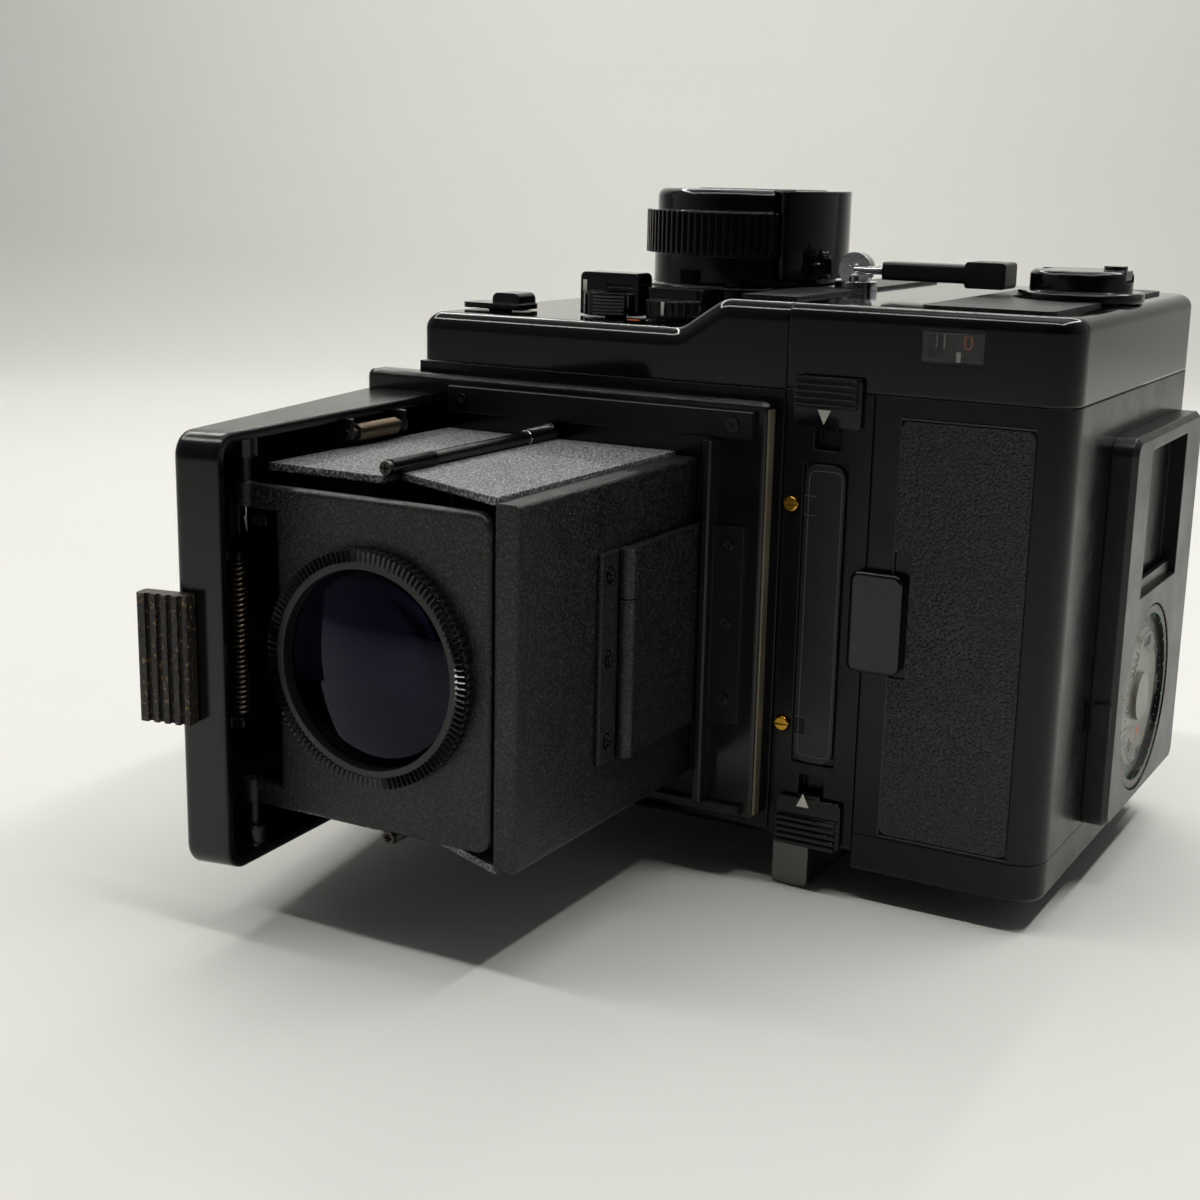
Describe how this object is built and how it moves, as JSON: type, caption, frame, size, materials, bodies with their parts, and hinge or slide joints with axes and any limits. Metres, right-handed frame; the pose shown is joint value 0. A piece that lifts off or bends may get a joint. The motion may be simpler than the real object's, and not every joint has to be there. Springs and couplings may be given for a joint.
{
  "type": "medium format film camera",
  "caption": "Single-lens reflex camera for 6 x 6 cm roll film: box body with capped lens mount, opened waist-level hood with magnifier, winding crank, roll-film back with hinged door",
  "frame": {"origin": "centre of the tripod socket's mouth, in the plane of the base plate", "axes": "+Y out of the base plate along the tripod screw, +X backwards along the optical axis towards the film door, +Z towards the winding side, which is uppermost as it lies"},
  "size_m": [0.136, 0.1601, 0.119],
  "materials": {
    "body_black": "satin black paint",
    "hood_black": "fine matt black paint",
    "leather": "pebbled black leatherette",
    "gloss_black": "smooth black moulding",
    "matt_black": "matt black moulding",
    "rubber": "ribbed grip",
    "black_alloy": "black anodised",
    "bare_alloy": "bare, satin",
    "chrome": "polished plate",
    "steel": "bare",
    "brass": "bare",
    "glass": "clear, coated",
    "screen": "finely ground",
    "mirror": "front silvered",
    "pale_dial": "printed scale"
  },
  "bodies": {
    "camera": {"body_shell": "body_black", "winding_cover": "gloss_black", "base_plate": "body_black", "side_leather": "leather", "tripod_socket": "steel", "lens_mount": "steel", "focusing_screen": "screen", "finder_base": "hood_black", "finder_rails": "black_alloy", "rear_bracket": "black_alloy", "rear_wall": "hood_black", "link_plate": "black_alloy", "hinge_strip": "black_alloy", "hood_screws": "steel", "hood_flaps": "hood_black", "flap_rods": "black_alloy", "finder_lid": "hood_black", "lid_tab": "gloss_black", "latch_spring": "steel", "strap_lugs": "chrome", "back_frame": "body_black", "name_strip": "gloss_black", "contact_pins": "brass", "back_cap": "gloss_black", "counter_window": "glass", "film_insert": "black_alloy"},
    "magnifier": {"magnifier_plate": "hood_black", "magnifier_ring": "gloss_black", "magnifier_glass": "glass"},
    "lid_latch_body": {"lid_latch": "chrome"},
    "mirror": {"mirror_frame": "black_alloy", "mirror_glass": "mirror"},
    "winding_knob_body": {"winding_knob": "gloss_black"},
    "winding_crank_body": {"winding_crank": "gloss_black"},
    "mirror_lever_body": {"mirror_lever": "gloss_black"},
    "exposure_knob_body": {"exposure_knob": "gloss_black"},
    "release_slide_body": {"release_slide": "gloss_black"},
    "shutter_dial_body": {"shutter_dial": "gloss_black"},
    "release_button_body": {"release_button": "chrome"},
    "battery_cover_body": {"battery_cover": "gloss_black"},
    "mount_cap_body": {"mount_cap": "matt_black"},
    "lens_lock_body": {"lens_lock": "gloss_black"},
    "upper_catch_body": {"upper_catch": "gloss_black"},
    "lower_catch_body": {"lower_catch": "gloss_black"},
    "film_crank_body": {"film_crank": "gloss_black"},
    "film_crank_bar_body": {"film_crank_bar": "gloss_black"},
    "take_up_body": {"take_up_spool": "matt_black"},
    "supply_body": {"supply_spool": "matt_black"},
    "counter_body": {"counter_drum": "matt_black"},
    "door": {"back_door": "body_black", "door_leather": "leather", "memo_holder": "gloss_black"},
    "door_latch_body": {"door_latch": "gloss_black"},
    "speed_dial_body": {"speed_dial": "pale_dial"},
    "dark_slide_body": {"dark_slide": "steel", "dark_slide_grip": "chrome"},
    "strap": {"strap_hook": "chrome", "strap_link": "gloss_black"}
  },
  "joints": [
    {"name": "magnifier_swing", "type": "hinge", "parent": "camera", "child": "magnifier", "pos_m": [-0.0315, -0.1444, 0], "axis": [0, 0, 1], "range_deg": [0, 84]},
    {"name": "lid_latch_slide", "type": "slide", "parent": "camera", "child": "lid_latch_body", "axis": [0, 0, -1], "range_m": [0, 0.004]},
    {"name": "mirror_swing", "type": "hinge", "parent": "camera", "child": "mirror", "pos_m": [0.0269, -0.0724, 0], "axis": [0, 0, 1], "range_deg": [0, 45]},
    {"name": "winding_turn", "type": "hinge", "parent": "camera", "child": "winding_knob_body", "pos_m": [0.0055, -0.042, 0.06], "axis": [0, 0, 1], "continuous": true},
    {"name": "crank_unfold", "type": "hinge", "parent": "winding_knob_body", "child": "winding_crank_body", "pos_m": [-0.007, -0.042, 0.0702], "axis": [0, -1, 0], "range_deg": [0, 150]},
    {"name": "mirror_lever_turn", "type": "hinge", "parent": "camera", "child": "mirror_lever_body", "pos_m": [-0.0082, -0.068, 0.05], "axis": [0, 0, -1], "range_deg": [0, 40]},
    {"name": "exposure_knob_turn", "type": "hinge", "parent": "camera", "child": "exposure_knob_body", "pos_m": [0.0046, -0.0684, 0.05], "axis": [0, 0, -1], "range_deg": [0, 90]},
    {"name": "release_slide_move", "type": "slide", "parent": "camera", "child": "release_slide_body", "axis": [1, 0, 0], "range_m": [0, 0.004]},
    {"name": "shutter_dial_turn", "type": "hinge", "parent": "camera", "child": "shutter_dial_body", "pos_m": [-0.008, -0.038, -0.042], "axis": [0, 0, 1], "range_deg": [0, 300]},
    {"name": "release_press", "type": "slide", "parent": "camera", "child": "release_button_body", "axis": [1, 0, 0], "range_m": [0, 0.002], "stiffness_N_per_m": 300, "springref_m": -0.002},
    {"name": "battery_cover_turn", "type": "hinge", "parent": "camera", "child": "battery_cover_body", "pos_m": [-0.024, -0.002, 0.014], "axis": [0, 1, 0], "range_deg": [0, 90]},
    {"name": "mount_cap_turn", "type": "hinge", "parent": "camera", "child": "mount_cap_body", "pos_m": [-0.041, -0.045, 0], "axis": [1, 0, 0], "range_deg": [0, 60]},
    {"name": "lens_lock_slide", "type": "slide", "parent": "camera", "child": "lens_lock_body", "axis": [0, 1, 0], "range_m": [0, 0.003], "stiffness_N_per_m": 200, "springref_m": -0.003},
    {"name": "upper_catch_slide", "type": "slide", "parent": "camera", "child": "upper_catch_body", "axis": [0, 0, -1], "range_m": [0, 0.003], "stiffness_N_per_m": 150, "springref_m": -0.003},
    {"name": "lower_catch_slide", "type": "slide", "parent": "camera", "child": "lower_catch_body", "axis": [0, 0, 1], "range_m": [0, 0.003], "stiffness_N_per_m": 150, "springref_m": -0.003},
    {"name": "film_crank_turn", "type": "hinge", "parent": "camera", "child": "film_crank_body", "pos_m": [0.0703, -0.043, 0.056], "axis": [0, 0, 1], "continuous": true},
    {"name": "film_bar_unfold", "type": "hinge", "parent": "film_crank_body", "child": "film_crank_bar_body", "pos_m": [0.0645, -0.043, 0.05925], "axis": [0, -1, 0], "range_deg": [0, 100]},
    {"name": "take_up_turn", "type": "hinge", "parent": "camera", "child": "take_up_body", "pos_m": [0.0648, -0.066, 0], "axis": [0, 0, 1], "continuous": true},
    {"name": "supply_turn", "type": "hinge", "parent": "camera", "child": "supply_body", "pos_m": [0.0648, -0.0225, 0], "axis": [0, 0, 1], "continuous": true},
    {"name": "counter_turn", "type": "hinge", "parent": "camera", "child": "counter_body", "pos_m": [0.0622, -0.073, 0.048], "axis": [0, 0, 1], "continuous": true},
    {"name": "door_swing", "type": "hinge", "parent": "camera", "child": "door", "pos_m": [0.0514, -0.0056, 0], "axis": [0, 0, 1], "range_deg": [0, 75]},
    {"name": "door_latch_slide", "type": "slide", "parent": "door", "child": "door_latch_body", "axis": [0, 0, 1], "range_m": [0, 0.003]},
    {"name": "speed_dial_turn", "type": "hinge", "parent": "door", "child": "speed_dial_body", "pos_m": [0.0844, -0.039, -0.0154], "axis": [1, 0, 0], "range_deg": [0, 300]},
    {"name": "dark_slide_pull", "type": "slide", "parent": "camera", "child": "dark_slide_body", "axis": [0, 0, -1], "range_m": [0, 0.069]},
    {"name": "strap_swing", "type": "hinge", "parent": "camera", "child": "strap", "pos_m": [0.0294, -0.045, 0.0584], "axis": [0, -1, 0], "range_deg": [0, 45]}
  ],
  "couplings": [
    {"joint": "film_crank_turn", "follows": "take_up_turn", "ratio": 1},
    {"joint": "supply_turn", "follows": "take_up_turn", "ratio": 0.5},
    {"joint": "counter_turn", "follows": "take_up_turn", "ratio": -0.0833}
  ]
}
